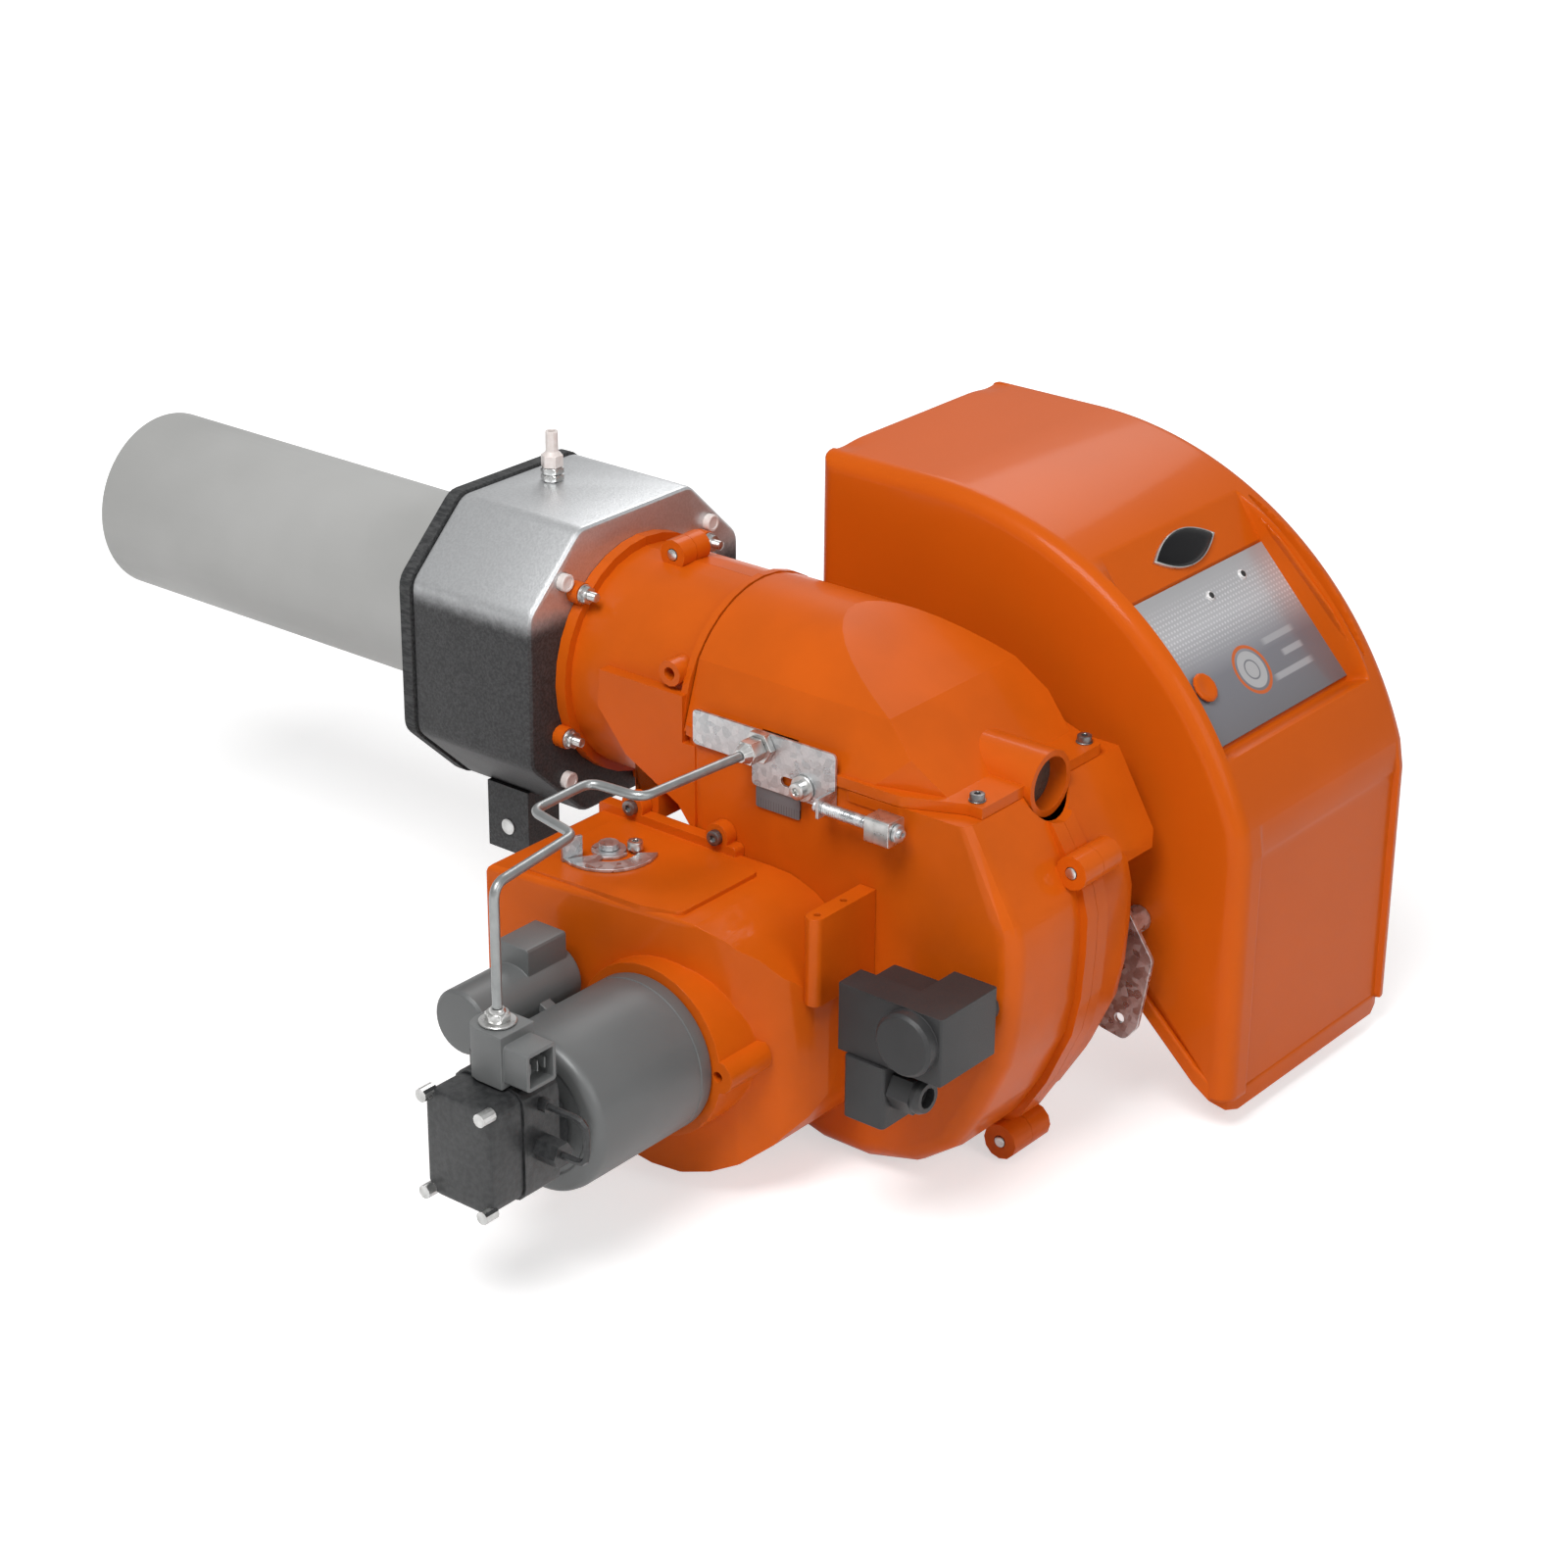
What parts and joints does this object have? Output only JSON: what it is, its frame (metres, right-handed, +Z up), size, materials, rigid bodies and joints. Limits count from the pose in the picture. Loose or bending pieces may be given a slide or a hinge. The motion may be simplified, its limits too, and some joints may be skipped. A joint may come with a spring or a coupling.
{
  "type": "industrial burner",
  "caption": "Forced-draught light-oil burner with blast tube, cast fan casing, motor, oil pump, air damper, pressure switch and sloping control hood.",
  "frame": {"origin": "centre of the boiler mating plane (the gasket's front face) on the blast tube's axis", "axes": "+Y along the blast tube towards the flame, +Z up, -X towards the motor and pump, +X towards the hood"},
  "size_m": [0.67, 0.855, 0.3895],
  "materials": {
    "cast_iron_grey": "cast, light satin texture",
    "tube_steel": "smooth rolled sheet",
    "zinc_steel": "zinc plated",
    "bright_aluminium": "die cast, bright",
    "gasket_dark": "fibrous board, matt",
    "grey_paint": "semi-gloss grey",
    "pump_grey": "fine cast, dark",
    "coil_grey": "moulded",
    "dark_plastic": "moulded, fine grain",
    "orange_plastic": "glossy",
    "orange_paint": "glossy orange powder coat on a die casting",
    "brass": "machined",
    "sight_glass": "clear",
    "ceramic": "glazed ceramic",
    "label_grey": "printed sheet"
  },
  "bodies": {
    "burner": {"adjuster_block": "zinc_steel", "air_pressure_switch": "dark_plastic", "blast_tube": "tube_steel", "block_lug_pin": "zinc_steel", "boiler_stud_1": "zinc_steel", "boiler_stud_2": "zinc_steel", "boiler_stud_3": "zinc_steel", "boiler_stud_4": "zinc_steel", "casing_left": "orange_paint", "casing_right": "orange_paint", "casing_screw_1": "zinc_steel", "casing_screw_2": "zinc_steel", "casing_screw_3": "zinc_steel", "control_box": "dark_plastic", "cover_screw_1": "zinc_steel", "cover_screw_2": "zinc_steel", "damper_clamp_screw": "zinc_steel", "faceplate": "label_grey", "flange_nut_1": "zinc_steel", "flange_nut_2": "zinc_steel", "flange_nut_3": "zinc_steel", "flange_nut_4": "zinc_steel", "flange_nut_5": "zinc_steel", "front_gasket": "gasket_dark", "gland_nut": "dark_plastic", "hood": "orange_plastic", "hood_bracket": "zinc_steel", "hood_tray": "orange_plastic", "ignition_transformer": "coil_grey", "index_strip": "label_grey", "intake_housing": "orange_paint", "intake_screw_1": "zinc_steel", "intake_screw_2": "zinc_steel", "motor_body": "grey_paint", "motor_capacitor": "grey_paint", "mounting_block": "cast_iron_grey", "oil_pipe": "zinc_steel", "oil_pump_body": "pump_grey", "oil_pump_cover": "pump_grey", "plate_clamp_screw": "zinc_steel", "pressure_tap": "zinc_steel", "sight_glass": "sight_glass", "solenoid_coil": "coil_grey", "solenoid_nut": "zinc_steel", "switch_plug": "dark_plastic", "tap_locknuts": "zinc_steel", "top_cover": "orange_paint"},
    "head": {"adjusting_plate": "zinc_steel", "nozzle_line": "zinc_steel", "line_locknut": "zinc_steel", "oil_nozzle": "brass", "flame_disc": "zinc_steel", "electrode_1": "ceramic", "electrode_2": "ceramic"},
    "fan": {"fan_impeller": "bright_aluminium", "motor_shaft": "zinc_steel"},
    "damper": {"damper_lever": "zinc_steel", "damper_flap": "zinc_steel"},
    "adjuster": {"adjusting_screw": "zinc_steel"},
    "button": {"reset_button": "orange_plastic"}
  },
  "joints": [
    {"name": "fan_spin", "type": "hinge", "parent": "burner", "child": "fan", "pos_m": [-0.03, -0.2845, -0.155], "axis": [1, 0, 0], "continuous": true},
    {"name": "head_slide", "type": "slide", "parent": "burner", "child": "head", "axis": [0, -1, 0], "range_m": [0, 0.014]},
    {"name": "adjuster_turn", "type": "hinge", "parent": "burner", "child": "adjuster", "pos_m": [-0.0928, -0.379, -0.0135], "axis": [0, 1, 0], "range_deg": [0, 2520]},
    {"name": "air_damper", "type": "hinge", "parent": "burner", "child": "damper", "pos_m": [-0.134, -0.2045, -0.0677], "axis": [0, 0, 1], "range_deg": [0, 90]},
    {"name": "reset_press", "type": "slide", "parent": "burner", "child": "button", "axis": [0, 0.7314, -0.682], "range_m": [0, 0.0015], "stiffness_N_per_m": 500}
  ],
  "couplings": [
    {"joint": "adjuster_turn", "follows": "head_slide", "rad_per_m": 3141.6}
  ]
}
